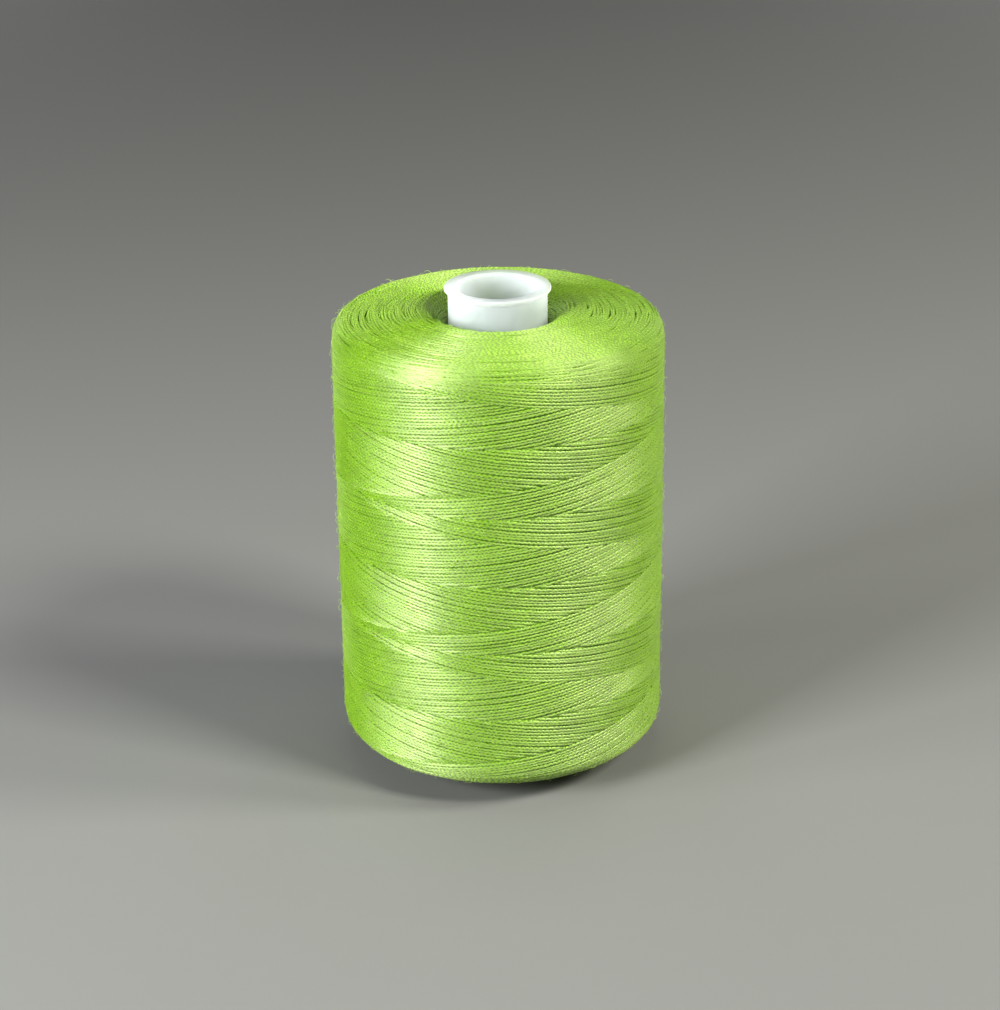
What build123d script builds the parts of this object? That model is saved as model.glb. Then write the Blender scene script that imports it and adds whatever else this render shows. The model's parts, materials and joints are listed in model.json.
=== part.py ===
from build123d import *
import os

# Spool of sewing thread: a straight plastic tube carrying a cross-wound thread package.
# Millimetres. The tube's axis is Z and its lower end stands on Z = 0. Every piece is a solid of
# revolution, drawn as a half section in XZ, where the sketch's x is the radius.

# --- spool tube ---
tube_length = 55.0
tube_radius = 5.45             # outside of the plain wall
bore_radius = 4.3              # through hole that drops over a spool pin
lip_overhang = 0.4             # small outward lip at each rim
lip_height = 0.3               # cylindrical height of the lip
lip_flare = 0.4                # height over which the wall widens into the lip
rim_round = 0.15               # rounded outer edge of each rim
mouth_chamfer = 0.3            # lead-in at both ends of the bore

# --- thread package ---
package_bottom = 2.4           # the tube's bare foot, below the thread
package_height = 50.2
package_radius = 18.25         # straight side
crest_radius = 9.1             # ring where each end face stands highest
valley_depth = 3.0             # how far the thread dips from that ring down to the tube
top_end = (0.8, 2.2, 3.6)      # fall of the end face, then the rounded shoulder's reach and height
bottom_end = (0.0, 3.4, 2.85)  # the same for the lower end, which is flat out to its shoulder

# --- layers of the winding, outermost group first, with the depth of thread wound over each ---
layers = (
    ("winding_outer", 0.0, 0.0),
    ("winding_middle", 3.4, 2.2),
    ("winding_inner", 7.6, 4.4),
)

package_middle = package_bottom + package_height / 2
lip_radius = tube_radius + lip_overhang


def draw_end(side, crest, end_sizes, up):
    """Draw one end of a package's half section, from the tube's wall out to the straight side.

    side is the package's radius and crest the height of its highest ring. up is 1 for the upper
    end and -1 for the lower one. Returns the line's foot on the tube and its end on the side.
    """
    share = (side - tube_radius) / (package_radius - tube_radius)
    ring = tube_radius + share * (crest_radius - tube_radius)
    dip = share * valley_depth
    fall, reach, rise = (share * size for size in end_sizes)
    foot = (tube_radius, crest - up * dip)
    ring_top = (ring, crest)
    shoulder_top = (side - reach, crest - up * fall)
    side_end = (side, crest - up * (fall + rise))
    Spline(foot, ring_top, tangents=((0.35, up), (1, 0)))
    Line(ring_top, shoulder_top)
    Spline(shoulder_top, side_end, tangents=((1, -up * 0.1), (0, -up)))
    return foot, side_end


def draw_package(side_depth, end_depth):
    """Draw the half section of the thread that was wound before the last side_depth was added."""
    side = package_radius - side_depth
    half_height = package_height / 2 - end_depth
    upper_foot, upper_side = draw_end(side, package_middle + half_height, top_end, 1)
    lower_foot, lower_side = draw_end(side, package_middle - half_height, bottom_end, -1)
    Line(upper_side, lower_side)
    Line(lower_foot, upper_foot)


os.makedirs("parts", exist_ok=True)

# --- spool tube: plain wall with a small flared lip at both rims ---
with BuildPart() as spool_tube:
    with BuildSketch(Plane.XZ) as wall_section:
        with BuildLine():
            Polyline(
                (bore_radius, 0),
                (lip_radius, 0),
                (lip_radius, lip_height),
                (tube_radius, lip_height + lip_flare),
                (tube_radius, tube_length - lip_height - lip_flare),
                (lip_radius, tube_length - lip_height),
                (lip_radius, tube_length),
                (bore_radius, tube_length),
                close=True,
            )
        make_face()
        bore_corners = wall_section.vertices().group_by(Axis.X)[0]
        rim_corners = wall_section.vertices().group_by(Axis.X)[-1].sort_by(Axis.Z)
        chamfer(bore_corners, mouth_chamfer)
        fillet([rim_corners[0], rim_corners[-1]], rim_round)
    revolve(axis=Axis.Z)

spool_tube.part.label = "spool_tube"
export_step(spool_tube.part, "parts/spool_tube.step")

# --- the winding: nested groups of layers, each wrapped round the one wound before it ---
for index, (name, side_depth, end_depth) in enumerate(layers):
    with BuildPart() as winding:
        with BuildSketch(Plane.XZ):
            with BuildLine():
                draw_package(side_depth, end_depth)
            make_face()
            for _, inner_side_depth, inner_end_depth in layers[index + 1:index + 2]:
                with BuildLine():
                    draw_package(inner_side_depth, inner_end_depth)
                make_face(mode=Mode.SUBTRACT)
        revolve(axis=Axis.Z)
    winding.part.label = name
    export_step(winding.part, f"parts/{name}.step")
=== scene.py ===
import json
import logging
import math
from dataclasses import dataclass, field, replace
from enum import Enum
from typing import Sequence, Union

import bpy
import numpy as np
from mathutils import Matrix, Vector

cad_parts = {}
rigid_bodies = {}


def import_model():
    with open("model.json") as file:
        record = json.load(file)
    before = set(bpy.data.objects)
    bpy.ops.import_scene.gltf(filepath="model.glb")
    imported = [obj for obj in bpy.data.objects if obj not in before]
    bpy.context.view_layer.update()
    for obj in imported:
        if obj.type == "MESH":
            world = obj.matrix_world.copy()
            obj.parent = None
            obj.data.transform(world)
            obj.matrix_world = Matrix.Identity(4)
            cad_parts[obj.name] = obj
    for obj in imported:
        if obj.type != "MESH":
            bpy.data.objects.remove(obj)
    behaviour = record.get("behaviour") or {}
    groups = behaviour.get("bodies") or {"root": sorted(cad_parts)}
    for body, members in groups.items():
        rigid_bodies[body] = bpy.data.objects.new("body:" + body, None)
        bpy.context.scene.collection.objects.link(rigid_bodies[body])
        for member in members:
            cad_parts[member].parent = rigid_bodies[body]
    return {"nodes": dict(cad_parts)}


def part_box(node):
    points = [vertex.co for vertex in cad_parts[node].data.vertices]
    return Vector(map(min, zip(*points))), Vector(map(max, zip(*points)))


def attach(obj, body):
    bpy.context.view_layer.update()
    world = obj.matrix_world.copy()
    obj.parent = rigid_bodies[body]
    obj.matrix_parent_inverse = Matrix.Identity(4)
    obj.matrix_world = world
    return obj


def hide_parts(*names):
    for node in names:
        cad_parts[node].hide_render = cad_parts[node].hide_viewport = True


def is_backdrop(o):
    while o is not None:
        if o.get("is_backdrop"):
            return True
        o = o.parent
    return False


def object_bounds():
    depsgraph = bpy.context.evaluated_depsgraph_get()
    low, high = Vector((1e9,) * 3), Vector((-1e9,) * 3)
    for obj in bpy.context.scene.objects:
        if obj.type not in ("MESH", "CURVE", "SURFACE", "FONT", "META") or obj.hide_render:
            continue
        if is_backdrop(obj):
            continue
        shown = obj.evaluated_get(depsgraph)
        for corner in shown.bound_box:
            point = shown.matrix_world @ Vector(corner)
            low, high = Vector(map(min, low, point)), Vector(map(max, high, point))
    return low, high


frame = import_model()
CAD_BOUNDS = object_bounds()

log = logging.getLogger("spool")

MM = 0.001
FULL_TURN = 2 * math.pi
TUBE_RADIUS = 5.45 * MM
BODY = "root"
UV_NAME = "thread_uv"
WHITE = (1.0, 1.0, 1.0)
WARM = (1.0, 0.99, 0.88)

# Where the thread's waves and slubs start in the noise, so that neither repeats its drift.
WAVE_START = 500.0
SLUB_START = 900.0

Colour = tuple[float, float, float]
Point = tuple[float, float]
Span = tuple[float, float]
Operand = Union["Field", float, int]


class End(Enum):
    """The two ends of the thread package, with the direction that each one faces along Z."""

    UPPER = 1
    LOWER = -1


# ---------------------------------------------------------------------------------------------
# Wiring helpers
# ---------------------------------------------------------------------------------------------


def add_node(
    tree: bpy.types.NodeTree, kind: str, inputs: dict | None = None, **settings: object
) -> bpy.types.Node:
    """Add a node to a tree, with its settings made and its inputs fed.

    Args:
        tree: the tree that the node joins.
        kind: the node's type name.
        inputs: input name or index to a field, a socket or a plain value.
        **settings: properties of the node, such as operation or mode.

    Returns:
        The new node.
    """
    node = tree.nodes.new(kind)
    for name, value in settings.items():
        setattr(node, name, value)
    for key, value in (inputs or {}).items():
        if isinstance(value, Field):
            tree.links.new(value.socket, node.inputs[key])
        elif isinstance(value, bpy.types.NodeSocket):
            tree.links.new(value, node.inputs[key])
        else:
            node.inputs[key].default_value = value
    return node


@dataclass(frozen=True)
class Field:
    """One value that flows through a node tree, with the usual arithmetic."""

    tree: bpy.types.NodeTree
    socket: bpy.types.NodeSocket

    def math(self, operation: str, *others: Operand) -> "Field":
        """Apply a Math node to this value and any others, in that order.

        Args:
            operation: the node's operation.
            *others: its other inputs.

        Returns:
            The result.
        """
        inputs = dict(enumerate((self, *others)))
        node = add_node(self.tree, "ShaderNodeMath", inputs, operation=operation)
        return Field(self.tree, node.outputs[0])

    def __add__(self, other: Operand) -> "Field":
        """Sum of two values."""
        return self.math("ADD", other)

    def __sub__(self, other: Operand) -> "Field":
        """Difference of two values."""
        return self.math("SUBTRACT", other)

    def __rsub__(self, other: Operand) -> "Field":
        """Difference with a plain number on the left."""
        return (self * -1.0).math("ADD", other)

    def __mul__(self, other: Operand) -> "Field":
        """Product of two values."""
        return self.math("MULTIPLY", other)

    def __truediv__(self, other: Operand) -> "Field":
        """Quotient of two values."""
        return self.math("DIVIDE", other)

    def __rtruediv__(self, other: Operand) -> "Field":
        """Quotient with a plain number on top."""
        return self.math("POWER", -1.0) * other

    def ease(self, low: Operand, high: Operand) -> "Field":
        """Smooth step from 0 to 1.

        Args:
            low: where the step starts.
            high: where it ends.

        Returns:
            The step's value.
        """
        inputs = {"Value": self, "From Min": low, "From Max": high}
        node = add_node(self.tree, "ShaderNodeMapRange", inputs, interpolation_type="SMOOTHSTEP")
        return Field(self.tree, node.outputs["Result"])


def combine(x: Operand, y: Operand, z: Operand, tree: bpy.types.NodeTree) -> Field:
    """Make a vector from three values.

    Args:
        x: the vector's x.
        y: the vector's y.
        z: the vector's z.
        tree: the tree that the node joins.

    Returns:
        The vector.
    """
    node = add_node(tree, "ShaderNodeCombineXYZ", {"X": x, "Y": y, "Z": z})
    return Field(tree, node.outputs[0])


def split(vector: bpy.types.NodeSocket, tree: bpy.types.NodeTree) -> list[Field]:
    """Take a vector apart.

    Args:
        vector: the vector's socket.
        tree: the tree that the node joins.

    Returns:
        Its x, y and z.
    """
    node = add_node(tree, "ShaderNodeSeparateXYZ", {0: vector})
    return [Field(tree, output) for output in node.outputs]


class WindingTree:
    """A Geometry Nodes tree that lays thread over the package's meridian line.

    The meridian comes in as the modified object's own mesh, a line in the XZ plane whose x is the
    radius. Every size is a named input of the tree.
    """

    def __init__(self, name: str, sizes: dict[str, float | int]) -> None:
        """Start the tree.

        Args:
            name: the tree's name.
            sizes: name of each input to its default; whole numbers make integer inputs.
        """
        self.tree = bpy.data.node_groups.new(name, "GeometryNodeTree")
        self.ids: dict[str, str] = {}
        self._socket("Geometry", "INPUT", "NodeSocketGeometry")
        for label, value in sizes.items():
            kind = "NodeSocketInt" if isinstance(value, int) else "NodeSocketFloat"
            self._socket(label, "INPUT", kind, value)
        self._socket("Material", "INPUT", "NodeSocketMaterial")
        self._socket("Geometry", "OUTPUT", "NodeSocketGeometry")
        self.source = add_node(self.tree, "NodeGroupInput")

    def _socket(self, label: str, side: str, kind: str, default: float | int | None = None) -> None:
        """Add one socket to the tree's interface and remember an input's identifier.

        Args:
            label: the socket's name.
            side: INPUT or OUTPUT.
            kind: the socket's type name.
            default: its value when a modifier gives none.
        """
        item = self.tree.interface.new_socket(name=label, in_out=side, socket_type=kind)
        if default is not None:
            item.default_value = default
        if side == "INPUT":
            self.ids[label] = item.identifier

    def size(self, label: str) -> Field:
        """The named input as a field."""
        return Field(self.tree, self.source.outputs[label])

    def add(self, kind: str, inputs: dict | None = None, **settings: object) -> bpy.types.Node:
        """Add a node to this tree."""
        return add_node(self.tree, kind, inputs, **settings)

    def random(self, identity: Field, spread: Operand, seed: int) -> Field:
        """A fixed random number from minus spread to spread, one for each identity."""
        node = self.add("FunctionNodeRandomValue", {"ID": identity, "Seed": seed}, data_type="FLOAT")
        return (Field(self.tree, node.outputs[1]) * 2.0 - 1.0) * spread

    def wander(self, place: Field, spread: Operand) -> Field:
        """A smooth random number about zero that drifts.

        Args:
            place: what it drifts with, one bend for each unit.
            spread: how far it drifts either way.

        Returns:
            The number.
        """
        inputs = {"W": place, "Scale": 1.0, "Detail": 2.0, "Roughness": 0.5}
        node = self.add("ShaderNodeTexNoise", inputs, noise_dimensions="1D")
        return (Field(self.tree, node.outputs[0]) - 0.5) * 2.0 * spread

    def on_package(self, arc: Field, turn: Field, lift: Field) -> Field:
        """Where a point of the thread lies.

        Args:
            arc: distance along the meridian from its lower end.
            turn: whole turns about the axis, from the -Y side towards +X.
            lift: height of the thread's centre over the package's surface.

        Returns:
            The position as a vector field.
        """
        line = self.add("GeometryNodeMeshToCurve", {0: self.source.outputs["Geometry"]})
        place = {"Curves": line.outputs[0], "Length": arc}
        sample = self.add("GeometryNodeSampleCurve", place, mode="LENGTH")
        radius, _, height = split(sample.outputs["Position"], self.tree)
        along_radius, _, along_height = split(sample.outputs["Tangent"], self.tree)
        far = radius + along_height * lift
        up = height - along_radius * lift
        angle = turn * FULL_TURN
        return combine(far * angle.math("SINE"), far * angle.math("COSINE") * -1.0, up, self.tree)

    def sweep(
        self, curve: bpy.types.NodeSocket, position: Field, sides: int, swelling: Operand = 1.0
    ) -> bpy.types.NodeSocket:
        """Move a curve's points into place and give it the thread's round section.

        Args:
            curve: the curve whose points are placed.
            position: the points' positions.
            sides: facets round the thread.
            swelling: the thread's thickness as a share of its usual one.

        Returns:
            The swept mesh, with its UV map: metres along the thread, and turns about it.
        """
        placed = self.add("GeometryNodeSetPosition", {"Geometry": curve, "Position": position})
        upright = self.add("GeometryNodeSetCurveNormal", {"Curve": placed.outputs[0]}, mode="Z_UP")
        run = self._capture(upright.outputs[0], "Length")
        section = {"Resolution": sides, "Radius": self.size("Thread Radius")}
        circle = self.add("GeometryNodeCurvePrimitiveCircle", section)
        around = self._capture(circle.outputs["Curve"], "Factor")
        body = self.add("GeometryNodeCurveToMesh", {
            "Curve": run.outputs[0],
            "Profile Curve": around.outputs[0],
            "Scale": swelling,
            "Fill Caps": True,
        })
        metres = Field(self.tree, run.outputs[1])
        turns = Field(self.tree, around.outputs[1])
        place = combine(metres, turns, 0.0, self.tree)
        named = {"Geometry": body.outputs[0], "Name": UV_NAME}
        kept_as = {"data_type": "FLOAT2", "domain": "CORNER"}
        store = self.add("GeometryNodeStoreNamedAttribute", named, **kept_as)
        value = next(s for s in store.inputs if s.name == "Value" and s.enabled)
        self.tree.links.new(place.socket, value)
        smooth = self.add("GeometryNodeSetShadeSmooth", {"Geometry": store.outputs[0], "Shade Smooth": True})
        return smooth.outputs[0]

    def _capture(self, curve: bpy.types.NodeSocket, output: str) -> bpy.types.Node:
        """Keep one of a spline's own measures on its points.

        Args:
            curve: the curve that is measured.
            output: the measure, Factor or Length.

        Returns:
            The node that gives the curve and, after it, the measure.
        """
        measure = self.add("GeometryNodeSplineParameter")
        node = self.add("GeometryNodeCaptureAttribute", {"Geometry": curve}, domain="POINT")
        node.capture_items.new("FLOAT", output)
        self.tree.links.new(measure.outputs[output], node.inputs[output])
        return node

    def finish(self, geometry: bpy.types.NodeSocket) -> None:
        """End the tree in Realize Instances and Set Material.

        Args:
            geometry: what the tree has made.
        """
        real = self.add("GeometryNodeRealizeInstances", {"Geometry": geometry})
        dress_inputs = {"Geometry": real.outputs[0], "Material": self.source.outputs["Material"]}
        dressed = self.add("GeometryNodeSetMaterial", dress_inputs)
        self.add("NodeGroupOutput", {"Geometry": dressed.outputs[0]})

    def build(
        self, name: str, base: bpy.types.Mesh, values: dict[str, float | int], finish: bpy.types.Material
    ) -> bpy.types.Object:
        """Run the tree on a mesh and keep the result as a plain mesh object.

        Args:
            name: the new object's name.
            base: the mesh that the tree works on.
            values: inputs that differ from their defaults.
            finish: the material that the tree sets.

        Returns:
            The finished object, with no modifier on it.
        """
        carrier = bpy.data.objects.new(f"{name}_carrier", base)
        bpy.context.collection.objects.link(carrier)
        modifier = carrier.modifiers.new("winding", "NODES")
        modifier.node_group = self.tree
        for label, value in values.items():
            modifier[self.ids[label]] = value
        modifier[self.ids["Material"]] = finish
        evaluated = carrier.evaluated_get(bpy.context.evaluated_depsgraph_get())
        mesh = bpy.data.meshes.new_from_object(evaluated)
        bpy.data.objects.remove(carrier)
        mesh.name = name
        piece = bpy.data.objects.new(name, mesh)
        bpy.context.collection.objects.link(piece)
        return piece


# ---------------------------------------------------------------------------------------------
# Finishes
# ---------------------------------------------------------------------------------------------


def new_material(name: str) -> tuple[bpy.types.Material, bpy.types.Node]:
    """Make a plain node material.

    Args:
        name: the material's name.

    Returns:
        The material and its Principled shader.
    """
    material = bpy.data.materials.new(name)
    material.use_nodes = True
    shader = next(n for n in material.node_tree.nodes if n.type == "BSDF_PRINCIPLED")
    return material, shader


def mix_colours(
    tree: bpy.types.NodeTree, amount: Operand, first: Colour, second: Colour
) -> bpy.types.NodeSocket:
    """Blend two colours.

    Args:
        tree: the tree that the node joins.
        amount: 0 for the first colour, 1 for the second.
        first: the first colour.
        second: the second colour.

    Returns:
        The blended colour's socket.
    """
    node = add_node(tree, "ShaderNodeMix", {"Factor": amount}, data_type="RGBA")
    for socket, colour in zip([s for s in node.inputs if s.type == "RGBA"], (first, second)):
        socket.default_value = (*colour, 1.0)
    return next(s for s in node.outputs if s.type == "RGBA")


def add_noise(
    tree: bpy.types.NodeTree, place: Field | bpy.types.NodeSocket, scale: float, detail: float = 2.0,
    roughness: float = 0.5,
) -> Field:
    """Add a cloudy pattern.

    Args:
        tree: the tree that the node joins.
        place: where the pattern is read.
        scale: its size, as clouds per unit of place.
        detail: how many finer layers it has.
        roughness: how strong those are.

    Returns:
        A value about 0.5.
    """
    inputs = {"Vector": place, "Scale": scale, "Detail": detail, "Roughness": roughness}
    node = add_node(tree, "ShaderNodeTexNoise", inputs)
    return Field(tree, node.outputs["Fac"])


def add_bump(
    tree: bpy.types.NodeTree, shader: bpy.types.Node, height: Field, depth: float, strength: float = 1.0
) -> None:
    """Give a shader the normals of a fine relief.

    Args:
        tree: the tree that the node joins.
        shader: the shader that takes the normals.
        height: the relief, from 0 to 1.
        depth: its full depth.
        strength: how much of its tilt shows.
    """
    bump = add_node(tree, "ShaderNodeBump", {"Height": height, "Strength": strength, "Distance": depth})
    tree.links.new(bump.outputs[0], shader.inputs["Normal"])


@dataclass(frozen=True)
class ThreadFinish:
    """Spun polyester sewing thread: two plies twisted together, with a soft fibre sheen and painted shade in
    the ply groove.
    """

    name: str = "lime_thread"
    # Dark end of the colour: painted shade in the ply groove, and the darker side of the random tone.
    shade: Colour = (0.055, 0.155, 0.001)
    light: Colour = (0.37, 0.64, 0.016)
    lay: float = 1.0 * MM
    uneven_length: float = 2.6 * MM
    uneven_twist: float = 2.0
    uneven_tone: float = 0.3
    groove: Span = (0.1, 0.95)
    fibre_length: float = 0.9 * MM
    fibres_around: float = 4.0
    fibre_edges: Span = (0.3, 0.6)
    fibre_tone: float = 0.6
    patch_scale: float = 260.0
    patch_edges: Span = (0.3, 0.7)
    patch_tone: float = 0.1
    relief: float = 0.035 * MM
    ply_relief: float = 0.8
    fibre_relief: float = 0.3
    roughness: float = 0.33
    fibre_roughness: float = 0.25
    refraction: float = 2.1
    gloss: Colour = (1.0, 0.985, 0.85)
    anisotropy: float = 0.8
    across: float = 0.25
    fuzz: Colour = (0.80, 1.0, 0.35)
    fuzz_weight: float = 0.25
    fuzz_roughness: float = 0.5

    def build(self) -> bpy.types.Material:
        """Make the material, which follows the thread's own UV map.

        Returns:
            The material.
        """
        material, shader = new_material(self.name)
        tree = material.node_tree
        uv = add_node(tree, "ShaderNodeUVMap", uv_map=UV_NAME)
        run, around, _ = split(uv.outputs[0], tree)
        stretch = combine(run / self.uneven_length, 0.0, 0.0, tree)
        uneven = add_noise(tree, stretch, scale=1.0, detail=1.0)
        twist = (run / self.lay + around + uneven * self.uneven_twist) * FULL_TURN
        # The ply groove pulls the colour towards shade: painted shade in the crease between the plies; the
        # same pattern also shapes the bump.
        plies = twist.math("SINE").math("ABSOLUTE").ease(*self.groove)
        wound = (around + run / self.lay) * self.fibres_around
        staple = combine(run / self.fibre_length, wound, 0.0, tree)
        fibre = add_noise(tree, staple, scale=1.0, detail=3.0, roughness=0.6)
        place = add_node(tree, "ShaderNodeTexCoord")
        patch = add_noise(tree, place.outputs["Object"], self.patch_scale)
        tone = plies * (fibre.ease(*self.fibre_edges) * self.fibre_tone + (1.0 - self.fibre_tone))
        tone = tone + (patch.ease(*self.patch_edges) - 0.5) * self.patch_tone
        tone = tone + (uneven - 0.5) * self.uneven_tone
        tree.links.new(mix_colours(tree, tone, self.shade, self.light), shader.inputs["Base Color"])
        add_bump(tree, shader, plies * self.ply_relief + fibre * self.fibre_relief, self.relief)
        rough = fibre * self.fibre_roughness + self.roughness
        tree.links.new(rough.socket, shader.inputs["Roughness"])
        self._set_sheen(tree, shader)
        return material

    def _set_sheen(self, tree: bpy.types.NodeTree, shader: bpy.types.Node) -> None:
        """Draw the gloss out across the thread, as parallel fibres do, and add their fuzz.

        Args:
            tree: the material's tree.
            shader: its shader.
        """
        shader.inputs["Specular IOR Level"].default_value = 1.0
        shader.inputs["Specular Tint"].default_value = (*self.gloss, 1.0)
        shader.inputs["IOR"].default_value = self.refraction
        shader.inputs["Sheen Weight"].default_value = self.fuzz_weight
        shader.inputs["Sheen Roughness"].default_value = self.fuzz_roughness
        shader.inputs["Sheen Tint"].default_value = (*self.fuzz, 1.0)
        along = add_node(tree, "ShaderNodeTangent", direction_type="UV_MAP", uv_map=UV_NAME)
        tree.links.new(along.outputs[0], shader.inputs["Tangent"])
        shader.inputs["Anisotropic"].default_value = self.anisotropy
        shader.inputs["Anisotropic Rotation"].default_value = self.across


@dataclass(frozen=True)
class FibreFinish:
    """The single fibres that stand out of the thread, a little paler than it."""

    name: str = "lime_fibre"
    shade: Colour = (0.36, 0.62, 0.06)
    light: Colour = (0.62, 0.86, 0.22)
    scale: float = 1500.0
    edges: Span = (0.35, 0.65)
    roughness: float = 0.45
    fuzz_weight: float = 0.2

    def build(self) -> bpy.types.Material:
        """Make the material, with a tone that varies from fibre to fibre.

        Returns:
            The material.
        """
        material, shader = new_material(self.name)
        tree = material.node_tree
        place = add_node(tree, "ShaderNodeTexCoord")
        tone = add_noise(tree, place.outputs["Object"], self.scale).ease(*self.edges)
        tree.links.new(mix_colours(tree, tone, self.shade, self.light), shader.inputs["Base Color"])
        shader.inputs["Roughness"].default_value = self.roughness
        shader.inputs["Sheen Weight"].default_value = self.fuzz_weight
        return material


@dataclass(frozen=True)
class PackedThreadShadeFinish:
    """Thread seen as a packed surface: the lower layers under the visible ones, in painted shade."""

    name: str = "packed_thread_shade"
    # Both colours are painted shade of the lime thread: darker than it all over, and darkest in the troughs
    # between the courses.
    deep_shade: Colour = (0.08, 0.20, 0.003)
    high: Colour = (0.24, 0.45, 0.01)
    courses: int = 42
    pitch: float = 0.36 * MM
    relief: float = 0.1 * MM
    mottle_scale: float = 900.0
    mottle_tone: float = 0.3
    roughness: float = 0.8

    def build(self) -> bpy.types.Material:
        """Make the material from crossing bands of courses in object space, with painted shade between the
        bands.

        Returns:
            The material.
        """
        material, shader = new_material(self.name)
        tree = material.node_tree
        place = add_node(tree, "ShaderNodeTexCoord")
        x, y, z = split(place.outputs["Object"], tree)
        turn = x.math("ARCTAN2", y * -1.0) / FULL_TURN
        level = z / (self.courses * self.pitch)
        rising, falling = (
            ((level + turn * slope) * self.courses * FULL_TURN).math("SINE") * 0.5 + 0.5
            for slope in (1.0, -1.0)
        )
        height = rising.math("MAXIMUM", falling)
        mottle = add_noise(tree, place.outputs["Object"], self.mottle_scale, detail=3.0)
        tone = height * (1.0 - self.mottle_tone) + mottle * self.mottle_tone
        # Painted shade: the troughs between the crossing courses are darkest.
        tree.links.new(mix_colours(tree, tone, self.deep_shade, self.high), shader.inputs["Base Color"])
        add_bump(tree, shader, height, self.relief)
        shader.inputs["Roughness"].default_value = self.roughness
        return material


@dataclass(frozen=True)
class MilkyPlasticFinish:
    """Thin moulded polypropylene that light soaks into: milky white with a satin skin."""

    name: str = "milky_plastic"
    colour: Colour = (0.49, 0.53, 0.58)
    cloud: Colour = (0.465, 0.51, 0.56)
    cloud_scale: float = 140.0
    cloud_edges: Span = (0.35, 0.7)
    depth: float = 9.0 * MM
    soak: Colour = (1.0, 1.0, 0.95)
    skin_scale: float = 1800.0
    skin_relief: float = 0.02 * MM
    skin_strength: float = 0.5
    roughness: float = 0.33
    skin_roughness: float = 0.15

    def build(self) -> bpy.types.Material:
        """Make the material, with faint clouds and the skin's fine unevenness.

        Returns:
            The material.
        """
        material, shader = new_material(self.name)
        tree = material.node_tree
        place = add_node(tree, "ShaderNodeTexCoord")
        cloud = add_noise(tree, place.outputs["Object"], self.cloud_scale).ease(*self.cloud_edges)
        tree.links.new(mix_colours(tree, cloud, self.colour, self.cloud), shader.inputs["Base Color"])
        skin = add_noise(tree, place.outputs["Object"], self.skin_scale)
        add_bump(tree, shader, skin, self.skin_relief, self.skin_strength)
        rough = skin * self.skin_roughness + self.roughness
        tree.links.new(rough.socket, shader.inputs["Roughness"])
        shader.inputs["Subsurface Weight"].default_value = 1.0
        shader.inputs["Subsurface Radius"].default_value = self.soak
        shader.inputs["Subsurface Scale"].default_value = self.depth
        return material


@dataclass(frozen=True)
class FloorFinish:
    """Plain matt paper under the spool."""

    name: str = "floor_paper"
    colour: Colour = (0.25, 0.252, 0.252)
    roughness: float = 0.85

    def build(self) -> bpy.types.Material:
        """Make the material.

        Returns:
            The material.
        """
        material, shader = new_material(self.name)
        shader.inputs["Base Color"].default_value = (*self.colour, 1.0)
        shader.inputs["Roughness"].default_value = self.roughness
        return material


# ---------------------------------------------------------------------------------------------
# The package of thread
# ---------------------------------------------------------------------------------------------


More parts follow.
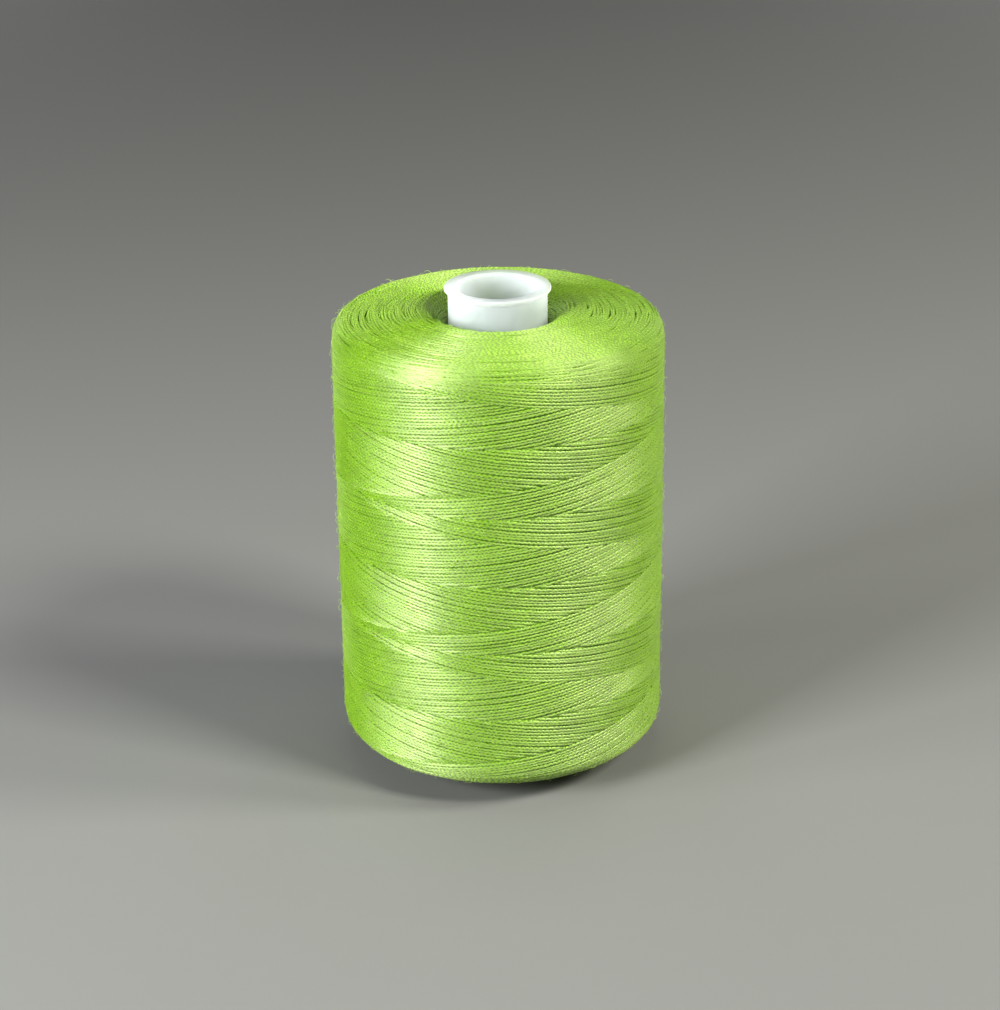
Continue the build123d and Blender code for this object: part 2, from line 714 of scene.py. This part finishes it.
@dataclass
class PackageShape:
    """Outer shape of a cross-wound package, as a meridian line from its lower valley to its upper one.

    Each end has a fall of its face, and its rounded shoulder's reach and height.
    """

    bottom: float
    top: float
    radius: float
    tube_radius: float
    crest_radius: float = 9.1 * MM
    valley_depth: float = 3.0 * MM
    upper_end: tuple[float, float, float] = (0.8 * MM, 2.2 * MM, 3.6 * MM)
    lower_end: tuple[float, float, float] = (0.0, 3.4 * MM, 2.85 * MM)
    upper_fullness: float = 2.9
    lower_fullness: float = 2.24
    curve_steps: int = 24

    @property
    def middle(self) -> float:
        """Height of the package's middle."""
        return (self.bottom + self.top) / 2

    def end_line(self, end: End) -> list[Point]:
        """Line of one end face, from the start of the straight side in to the tube.

        Args:
            end: which end of the package.

        Returns:
            Radius and height of each point.
        """
        up = end.value
        crest = self.top if end is End.UPPER else self.bottom
        fall, reach, rise = self.upper_end if end is End.UPPER else self.lower_end
        power = 2 / (self.upper_fullness if end is End.UPPER else self.lower_fullness)
        quarter = [math.pi / 2 * step / self.curve_steps for step in range(self.curve_steps + 1)]
        foot = crest - up * (fall + rise)
        shoulder_top = (self.radius - reach, foot + up * rise)
        shoulder = [
            (shoulder_top[0] + reach * math.cos(angle) ** power, foot + up * rise * math.sin(angle) ** power)
            for angle in quarter[:-1]
        ]
        hollow = self.crest_radius - self.tube_radius
        dip = up * self.valley_depth
        valley = [
            (self.crest_radius - hollow * math.sin(angle), crest - dip * (1 - math.cos(angle)))
            for angle in quarter
        ]
        return shoulder + [shoulder_top] + valley

    def meridian(self, inset: float = 0.0) -> np.ndarray:
        """The whole line from the lower valley to the upper one.

        Args:
            inset: how far inside the surface the line runs.

        Returns:
            Radius and height of each point.
        """
        line = np.array(self.end_line(End.LOWER)[::-1] + self.end_line(End.UPPER))
        along = np.gradient(line, axis=0)
        along /= np.linalg.norm(along, axis=1, keepdims=True)
        outward = np.stack([along[:, 1], -along[:, 0]], axis=1)
        moved = line - outward * inset
        moved[:, 0] = np.maximum(moved[:, 0], self.tube_radius)
        return moved

    def lengths(self) -> np.ndarray:
        """Distance along the meridian of each of its points."""
        steps = np.linalg.norm(np.diff(self.meridian(), axis=0), axis=1)
        return np.concatenate([[0.0], np.cumsum(steps)])

    def arc_at_side(self, end: End) -> float:
        """Distance along the meridian to one end of the straight side."""
        last_low = len(self.end_line(End.LOWER)) - 1
        return float(self.lengths()[last_low + 1 if end is End.UPPER else last_low])

    def arc_at_middle(self) -> float:
        """Distance along the meridian to the package's middle."""
        _, low = self.end_line(End.LOWER)[0]
        return self.arc_at_side(End.LOWER) + self.middle - low

    def mesh(self) -> bpy.types.Mesh:
        """The meridian as a line in the XZ plane.

        Returns:
            A mesh of edges only.
        """
        points = [(radius, 0.0, height) for radius, height in self.meridian()]
        mesh = bpy.data.meshes.new("meridian")
        mesh.from_pydata(points, [(i, i + 1) for i in range(len(points) - 1)], [])
        return mesh


@dataclass
class SideWinding:
    """The last layers of thread over the straight side, wound to and fro in crossing courses.

    Each cycle runs up and back down in a whole number of turns less one small step, so the next
    cycle lies beside it. Where two courses cross, the one laid later is on top.
    """

    shape: PackageShape
    cycles: int = 44
    turns_per_cycle: int = 6
    lead: float = 15.83 * MM
    start_turn: float = 0.184
    centre_offset: float = -0.33 * MM
    thread_radius: float = 0.186 * MM
    under_depth: float = 0.25 * MM
    reversal_sharpness: float = 0.9992
    steps_per_turn: int = 120
    sides: int = 8
    pieces: int = 4
    crossing_ease: float = 0.02
    straying: float = 0.05 * MM
    drift: float = 0.12 * MM
    drifts_per_turn: float = 2.6
    waviness: float = 0.06 * MM
    waves_per_turn: float = 6.3
    slubs: float = 0.35
    slubs_per_turn: float = 11.7
    seed: int = 7

    def sizes(self) -> dict[str, float | int]:
        """The tree's inputs.

        Returns:
            Name of each input to its default, which is this winding's own size.
        """
        sharp = self.reversal_sharpness
        return {
            "First Cycle": 0,
            "Cycles": self.cycles,
            "All Cycles": self.cycles,
            "Steps Per Turn": self.steps_per_turn,
            "Turns Per Cycle": self.turns_per_cycle,
            "Start Turn": self.start_turn,
            "Lead": self.lead,
            "Swing": self.lead * self.turns_per_cycle / 2 * math.asin(sharp) / (math.pi * sharp),
            "Middle Arc": self.shape.arc_at_middle() + self.centre_offset,
            "Thread Radius": self.thread_radius,
            "Under Depth": self.under_depth,
            "Straying": self.straying,
            "Drift": self.drift,
            "Waviness": self.waviness,
            "Slubs": self.slubs,
        }

    def tree(self) -> WindingTree:
        """Build the node tree that lays any stretch of this winding.

        Returns:
            The tree.
        """
        winding = WindingTree("side_winding", self.sizes())
        size = winding.size
        sharp = self.reversal_sharpness
        step = 1.0 / size("All Cycles")
        cycle_turns = size("Turns Per Cycle") - step
        count = size("Cycles") * size("Turns Per Cycle") * size("Steps Per Turn")
        line = winding.add("GeometryNodeCurvePrimitiveLine")
        points = winding.add("GeometryNodeResampleCurve", {"Curve": line.outputs[0], "Count": count + 1.0})
        index = Field(winding.tree, winding.add("GeometryNodeInputIndex").outputs[0])
        cycle_place = size("First Cycle") + index / count * size("Cycles")
        cycle = cycle_place.math("FLOOR")
        phase = cycle_place.math("FRACT")
        rising = phase.math("LESS_THAN", 0.5) * 2.0 - 1.0
        turn = cycle_place * cycle_turns - size("Start Turn")
        swinging = ((phase - 0.25) * FULL_TURN).math("SINE") * sharp
        course = winding.random(cycle * 2.0 + rising, size("Straying"), self.seed)
        course = course + winding.wander(turn * self.drifts_per_turn, size("Drift"))
        arc = size("Middle Arc") + swinging.math("ARCSINE") / math.asin(sharp) * size("Swing")
        level = (arc - size("Middle Arc")) / size("Lead") + self.turns_per_cycle / 4
        age = cycle * step
        # The age of the course that crosses this one here, as a share of the whole winding. The whole
        # turns only keep the value positive.
        whole_turns = 10.0 * self.turns_per_cycle * self.cycles
        other_age = (self.start_turn * -1.0 - turn - rising * level + whole_turns).math("FRACT")
        over = (age - other_age).ease(-self.crossing_ease, self.crossing_ease)
        lift = (over - 1.0) * size("Under Depth") - size("Thread Radius")
        lift = lift + winding.wander(turn * self.waves_per_turn + WAVE_START, size("Waviness"))
        position = winding.on_package(arc + course, turn, lift)
        swelling = winding.wander(turn * self.slubs_per_turn + SLUB_START, size("Slubs")) + 1.0
        winding.finish(winding.sweep(points.outputs[0], position, self.sides, swelling))
        return winding

    def build(self, finish: bpy.types.Material) -> list[bpy.types.Object]:
        """Lay the whole winding, as several stretches of the one thread.

        Args:
            finish: the thread's material.

        Returns:
            The stretches, in the order they are wound.
        """
        winding, base = self.tree(), self.shape.mesh()
        ends = [round(self.cycles * piece / self.pieces) for piece in range(self.pieces + 1)]
        stretches = []
        for number, (first, last) in enumerate(zip(ends, ends[1:]), start=1):
            values = {"First Cycle": first, "Cycles": last - first}
            stretches.append(winding.build(f"side_thread_{number}", base, values, finish))
        return stretches


@dataclass
class EndWinding:
    """The thread's turning points over one end face: rings of overlapping arcs.

    Every layer of the package turns back at its own radius. A course comes up over the shoulder,
    lies flat along a ring and dives back under the next ones.
    """

    shape: PackageShape
    end: End
    shoulder_start: float = 1.4 * MM
    ring_pitch: float = 0.17 * MM
    arcs_per_ring: int = 8
    arc_turns: float = 0.25
    dip: float = 1.0 * MM
    sink: float = 0.22 * MM
    thread_radius: float = 0.165 * MM
    place_straying: float = 0.3
    ring_straying: float = 0.35
    lift_straying: float = 0.03 * MM
    points_per_arc: int = 18
    sides: int = 6
    seed: int = 19

    def sizes(self) -> dict[str, float | int]:
        """The tree's inputs.

        Returns:
            Name of each input to its default, which is this winding's own size.
        """
        up = self.end.value
        start = self.shape.arc_at_side(self.end) + up * self.shoulder_start
        tube_arc = float(self.shape.lengths()[-1]) if self.end is End.UPPER else 0.0
        return {
            "Rings": int(abs(tube_arc - start) / self.ring_pitch),
            "Arcs Per Ring": self.arcs_per_ring,
            "Points Per Arc": self.points_per_arc,
            "Start Arc": start,
            "Ring Pitch": self.ring_pitch * up,
            "Arc Turns": self.arc_turns,
            "Dip": self.dip * up,
            "Sink": self.sink,
            "Thread Radius": self.thread_radius,
        }

    def build(self, finish: bpy.types.Material) -> bpy.types.Object:
        """Lay all the arcs of this end face.

        Args:
            finish: the thread's material.

        Returns:
            The arcs as one piece.
        """
        winding = WindingTree(f"{self.end.name.lower()}_winding", self.sizes())
        size = winding.size
        line = winding.add("GeometryNodeCurvePrimitiveLine")
        steps = {"Curve": line.outputs[0], "Count": size("Points Per Arc")}
        points = winding.add("GeometryNodeResampleCurve", steps)
        many = {"Geometry": points.outputs[0], "Amount": size("Rings") * size("Arcs Per Ring")}
        copies = winding.add("GeometryNodeDuplicateElements", many, domain="SPLINE")
        arc_index = Field(winding.tree, copies.outputs["Duplicate Index"])
        ring = (arc_index / size("Arcs Per Ring")).math("FLOOR")
        place = arc_index - ring * size("Arcs Per Ring")
        factor = Field(winding.tree, winding.add("GeometryNodeSplineParameter").outputs["Factor"])
        away = factor * 2.0 - 1.0
        fall = away * away
        shift = winding.random(ring, 0.5, self.seed)
        jitter = winding.random(arc_index, 1.0, self.seed + 1)
        start_turn = (place + jitter * self.place_straying) / size("Arcs Per Ring") + shift
        turn = start_turn + away * 0.5 * size("Arc Turns")
        ring_place = (ring + jitter * self.ring_straying) * size("Ring Pitch")
        arc = size("Start Arc") + ring_place - size("Dip") * fall
        lift = size("Thread Radius") * -1.0 - size("Sink") * fall
        lift = lift + winding.random(arc_index, self.lift_straying, self.seed + 2)
        position = winding.on_package(arc, turn, lift)
        winding.finish(winding.sweep(copies.outputs[0], position, self.sides))
        return winding.build(f"{self.end.name.lower()}_thread", self.shape.mesh(), {}, finish)


@dataclass
class FibreFuzz:
    """The short fibre ends that stand out of spun thread all over the package."""

    shape: PackageShape
    per_square_metre: float = 1.0e6
    reach: float = 0.65 * MM
    reach_spread: float = 0.55
    rise: float = 0.8
    rise_spread: float = 0.5
    fibre_radius: float = 0.011 * MM
    depth: float = 0.12 * MM
    skin_segments: int = 96
    seed: int = 31

    def add_fibre(self, scatter: WindingTree) -> bpy.types.Node:
        """Add one curled fibre of unit reach, with its root at the origin.

        Args:
            scatter: the tree that the fibre joins.

        Returns:
            The node that gives its mesh.
        """
        curl = scatter.add("GeometryNodeCurveQuadraticBezier", {
            "Resolution": 4,
            "Start": (0.0, 0.0, 0.0),
            "Middle": (0.5, 0.08, 0.6),
            "End": (1.0, 0.3, 0.25),
        })
        radius = scatter.size("Fibre Radius") / scatter.size("Reach")
        section = scatter.add("GeometryNodeCurvePrimitiveCircle", {"Resolution": 3, "Radius": radius})
        swept = {"Curve": curl.outputs[0], "Profile Curve": section.outputs["Curve"], "Fill Caps": True}
        return scatter.add("GeometryNodeCurveToMesh", swept)

    def tree(self) -> WindingTree:
        """Build the node tree that scatters curled fibre ends over a surface.

        Returns:
            The tree.
        """
        scatter = WindingTree("fibre_fuzz", {
            "Fibres Per Area": self.per_square_metre,
            "Reach": self.reach,
            "Fibre Radius": self.fibre_radius,
            "Seed": self.seed,
        })
        size, tree = scatter.size, scatter.tree
        spread = scatter.add("GeometryNodeDistributePointsOnFaces", {
            "Mesh": scatter.source.outputs["Geometry"],
            "Density": size("Fibres Per Area"),
            "Seed": size("Seed"),
        })
        fibre = self.add_fibre(scatter)
        identity = Field(tree, scatter.add("GeometryNodeInputIndex").outputs[0])
        angle = scatter.random(identity, math.pi, self.seed + 1)
        twist = scatter.add("FunctionNodeAxisAngleToRotation", {"Axis": (0.0, 0.0, 1.0), "Angle": angle})
        turning = {"Rotation": spread.outputs["Rotation"], "Rotate By": twist.outputs[0]}
        turned = scatter.add("FunctionNodeRotateRotation", turning, rotation_space="LOCAL")
        length = (scatter.random(identity, self.reach_spread, self.seed + 2) + 1.0) * size("Reach")
        rise = (scatter.random(identity, self.rise_spread, self.seed + 3) + self.rise) * length
        placed = scatter.add("GeometryNodeInstanceOnPoints", {
            "Points": spread.outputs["Points"],
            "Instance": fibre.outputs[0],
            "Rotation": turned.outputs[0],
            "Scale": combine(length, length, rise, tree),
        })
        scatter.finish(placed.outputs[0])
        return scatter

    def build(self, finish: bpy.types.Material) -> bpy.types.Object:
        """Scatter the fibre ends.

        Args:
            finish: the fibres' material.

        Returns:
            All the fibre ends as one piece.
        """
        line = self.shape.meridian(self.depth)
        skin = revolve("fuzz_skin", line, self.skin_segments, finish, closed=False)
        fuzz = self.tree().build("fibre_fuzz", skin.data, {}, finish)
        bpy.data.objects.remove(skin)
        return fuzz


@dataclass
class PackageCore:
    """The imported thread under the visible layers: a closed ring round the inner layers."""

    shape: PackageShape
    inner: PackageShape
    depth: float = 0.36 * MM
    segments: int = 144

    def build(self, finish: bpy.types.Material) -> bpy.types.Object:
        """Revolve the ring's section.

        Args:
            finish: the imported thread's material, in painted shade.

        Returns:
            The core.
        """
        loop = np.concatenate([self.shape.meridian(self.depth), self.inner.meridian()[::-1]])
        return revolve("thread_core", loop, self.segments, finish)


def revolve(
    name: str, loop: np.ndarray, segments: int, finish: bpy.types.Material, closed: bool = True
) -> bpy.types.Object:
    """Turn a section about Z.

    Args:
        name: the new object's name.
        loop: radius and height of the section's points; its solid side is on the left.
        segments: facets round the axis.
        finish: the object's material.
        closed: whether the section's last point joins its first.

    Returns:
        The smooth solid or skin of revolution.
    """
    angles = np.linspace(0, FULL_TURN, segments, endpoint=False)
    count = len(loop)
    points = [
        (radius * math.cos(angle), radius * math.sin(angle), height)
        for angle in angles for radius, height in loop
    ]
    faces = []
    for segment in range(segments):
        here, there = segment * count, (segment + 1) % segments * count
        for point in range(count if closed else count - 1):
            after = (point + 1) % count
            faces.append((here + point, there + point, there + after, here + after))
    mesh = bpy.data.meshes.new(name)
    mesh.from_pydata(points, [], faces)
    mesh.polygons.foreach_set("use_smooth", [True] * len(faces))
    mesh.materials.append(finish)
    piece = bpy.data.objects.new(name, mesh)
    bpy.context.collection.objects.link(piece)
    return piece


@dataclass
class ThreadPackage:
    """All the thread on the spool."""

    shape: PackageShape
    inner: PackageShape
    pieces: list[bpy.types.Object] = field(default_factory=list)

    def build(self) -> None:
        """Make every stretch of thread, the core under it and the painted-shade finish of the sealed layers.
        """
        thread = ThreadFinish().build()
        # The sealed layers' finish is painted shade, for the core and the inner CAD layers alike.
        packed = PackedThreadShadeFinish().build()
        self.pieces.append(PackageCore(self.shape, self.inner).build(packed))
        self.pieces += SideWinding(self.shape).build(thread)
        self.pieces += [EndWinding(self.shape, end).build(thread) for end in End]
        self.pieces.append(FibreFuzz(self.shape).build(FibreFinish().build()))
        for piece in self.pieces:
            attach(piece, BODY)
            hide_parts("winding_outer")
            log.info("%s: %d faces", piece.name, len(piece.data.polygons))
        for node in ("winding_middle", "winding_inner"):
            dress(node, packed)


def dress(node: str, finish: bpy.types.Material) -> None:
    """Give a CAD node a finish through its object's material slots.

    Args:
        node: the node's name.
        finish: the material.
    """
    for slot in frame["nodes"][node].material_slots:
        slot.material = finish
    log.info("%s: dressed in %s", node, finish.name)


@dataclass
class SpoolTube:
    """The moulded tube, whose shape is the CAD node's own."""

    node: str = "spool_tube"

    def build(self) -> None:
        """Dress the tube."""
        dress(self.node, MilkyPlasticFinish().build())


# ---------------------------------------------------------------------------------------------
# Studio
# ---------------------------------------------------------------------------------------------


@dataclass(frozen=True)
class Softbox:
    """A square soft light that faces the spool."""

    name: str
    azimuth: float
    elevation: float
    distance: float
    size: float
    power: float
    colour: Colour = WHITE

    def build(self, target: Vector) -> None:
        """Hang the light; its azimuth is from the camera's side, towards +X.

        Args:
            target: the point that it faces.
        """
        turn, rise = math.radians(self.azimuth), math.radians(self.elevation)
        away = Vector((math.sin(turn) * math.cos(rise), -math.cos(turn) * math.cos(rise), math.sin(rise)))
        lamp = bpy.data.lights.new(self.name, "AREA")
        lamp.shape = "SQUARE"
        lamp.size = self.size
        lamp.energy = self.power
        lamp.color = self.colour
        holder = bpy.data.objects.new(self.name, lamp)
        holder.location = target + away * self.distance
        holder.rotation_euler = away.to_track_quat("Z", "Y").to_euler()
        bpy.context.collection.objects.link(holder)


@dataclass
class Studio:
    """Floor, lights and camera."""

    target_height: float = 29.09 * MM
    distance: float = 287.1 * MM
    pitch: float = 23.0
    roll: float = -0.66
    lens: float = 90.86
    contrast: float = 1.35
    floor_size: float = 6.0
    ambient: float = 0.002
    boxes: Sequence[Softbox] = (
        Softbox("left_box", -50.0, 22.0, 0.42, 0.14, 2.5),
        Softbox("left_strip", -72.0, 14.0, 0.42, 0.10, 0.7),
        Softbox("right_box", 57.0, 42.0, 0.60, 0.14, 3.0, WARM),
        Softbox("right_strip", 84.0, 28.0, 0.50, 0.10, 1.6, WARM),
        Softbox("top_box", 180.0, 84.0, 0.24, 0.12, 0.13),
        Softbox("back_left_box", -152.0, 12.0, 0.60, 0.30, 0.5),
        Softbox("back_right_box", 154.0, 12.0, 0.60, 0.30, 0.5),
    )

    def build(self) -> None:
        """Set the whole studio up."""
        target = Vector((0.0, 0.0, self.target_height))
        self.lay_floor()
        for box in self.boxes:
            box.build(target)
        self.light_room()
        self.aim_camera(target)

    def light_room(self) -> None:
        """Set the faint light of the room and the picture's contrast."""
        scene = bpy.context.scene
        scene.world = scene.world or bpy.data.worlds.new("studio")
        scene.world.use_nodes = True
        room = next(n for n in scene.world.node_tree.nodes if n.type == "BACKGROUND")
        room.inputs["Color"].default_value = (*WHITE, 1.0)
        room.inputs["Strength"].default_value = self.ambient
        scene.view_settings.view_transform = "Standard"
        scene.view_settings.gamma = 1 / self.contrast

    def lay_floor(self) -> None:
        """Lay the plain floor that the spool stands on."""
        half = self.floor_size / 2
        corners = [(-half, -half, 0), (half, -half, 0), (half, half, 0), (-half, half, 0)]
        mesh = bpy.data.meshes.new("floor")
        mesh.from_pydata(corners, [], [(0, 1, 2, 3)])
        mesh.materials.append(FloorFinish().build())
        floor = bpy.data.objects.new("floor", mesh)
        bpy.context.collection.objects.link(floor)
        floor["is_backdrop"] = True

    def aim_camera(self, target: Vector) -> None:
        """Place the camera and make it the scene's own.

        Args:
            target: the point that it looks at.
        """
        rise = math.radians(self.pitch)
        lens = bpy.data.cameras.new("camera")
        lens.lens = self.lens
        camera = bpy.data.objects.new("camera", lens)
        back = Vector((0.0, -math.cos(rise), math.sin(rise)))
        upright = back.to_track_quat("Z", "Y").to_matrix().to_4x4()
        turned = upright @ Matrix.Rotation(math.radians(self.roll), 4, "Z")
        camera.matrix_world = Matrix.Translation(target + back * self.distance) @ turned
        bpy.context.collection.objects.link(camera)
        bpy.context.scene.camera = camera


def node_shape(node: str) -> PackageShape:
    """The outer shape of one CAD winding node, whose ends shrink with its thickness of thread.

    Args:
        node: the node's name.

    Returns:
        The shape.
    """
    low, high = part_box(node)
    _, full_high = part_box("winding_outer")
    share = (high[0] - TUBE_RADIUS) / (full_high[0] - TUBE_RADIUS)
    full = PackageShape(low[2], high[2], high[0], TUBE_RADIUS)
    return replace(
        full,
        crest_radius=TUBE_RADIUS + share * (full.crest_radius - TUBE_RADIUS),
        valley_depth=share * full.valley_depth,
        upper_end=tuple(share * size for size in full.upper_end),
        lower_end=tuple(share * size for size in full.lower_end),
    )


def main() -> None:
    """Build the spool and its studio, in order."""
    logging.basicConfig(level=logging.INFO, format="%(name)s: %(message)s")
    SpoolTube().build()
    ThreadPackage(node_shape("winding_outer"), node_shape("winding_middle")).build()
    Studio().build()
    boxes = {"cad": CAD_BOUNDS, "visual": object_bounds()}
    sizes = {name: [list(corner) for corner in box] for name, box in boxes.items()}


if __name__ == "__main__":
    main()
